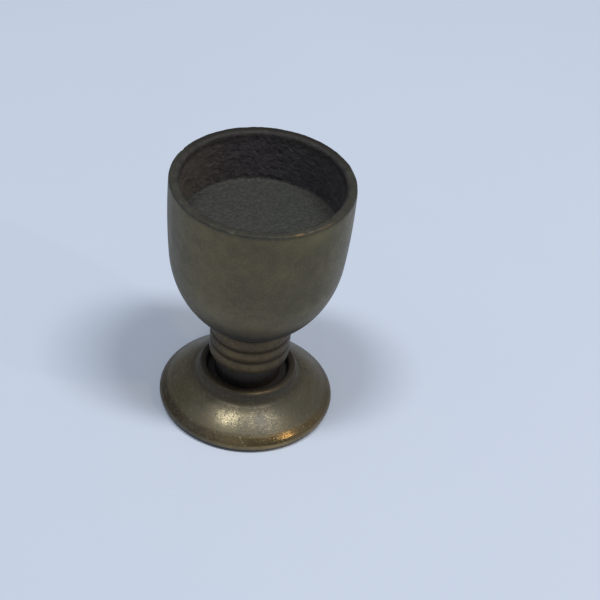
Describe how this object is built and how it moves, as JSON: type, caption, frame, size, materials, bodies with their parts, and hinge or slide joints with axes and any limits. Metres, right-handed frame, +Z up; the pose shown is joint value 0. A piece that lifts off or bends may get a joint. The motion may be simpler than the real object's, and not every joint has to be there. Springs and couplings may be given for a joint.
{
  "type": "footed desk cup",
  "caption": "Goblet-shaped turned brass cup with a shallow round well, beaded stem and domed foot, drawn together by a steel stud and nut.",
  "frame": {"origin": "centre of the ring that the foot stands on, at table height", "axes": "+Z up along the axis that everything is turned about; X and Y are any two level directions"},
  "size_m": [0.04, 0.04, 0.0612],
  "materials": {
    "bowl_brass": "dull olive tarnish, well as cast",
    "stem_brass": "brown tarnish, turned",
    "foot_brass": "worn olive tarnish, rubbed at the edge",
    "fixing_steel": "plain, dulled"
  },
  "bodies": {
    "root": {"bowl": "bowl_brass", "stem": "stem_brass", "foot": "foot_brass", "stud": "fixing_steel", "washer": "fixing_steel", "nut": "fixing_steel"}
  },
  "joints": []
}
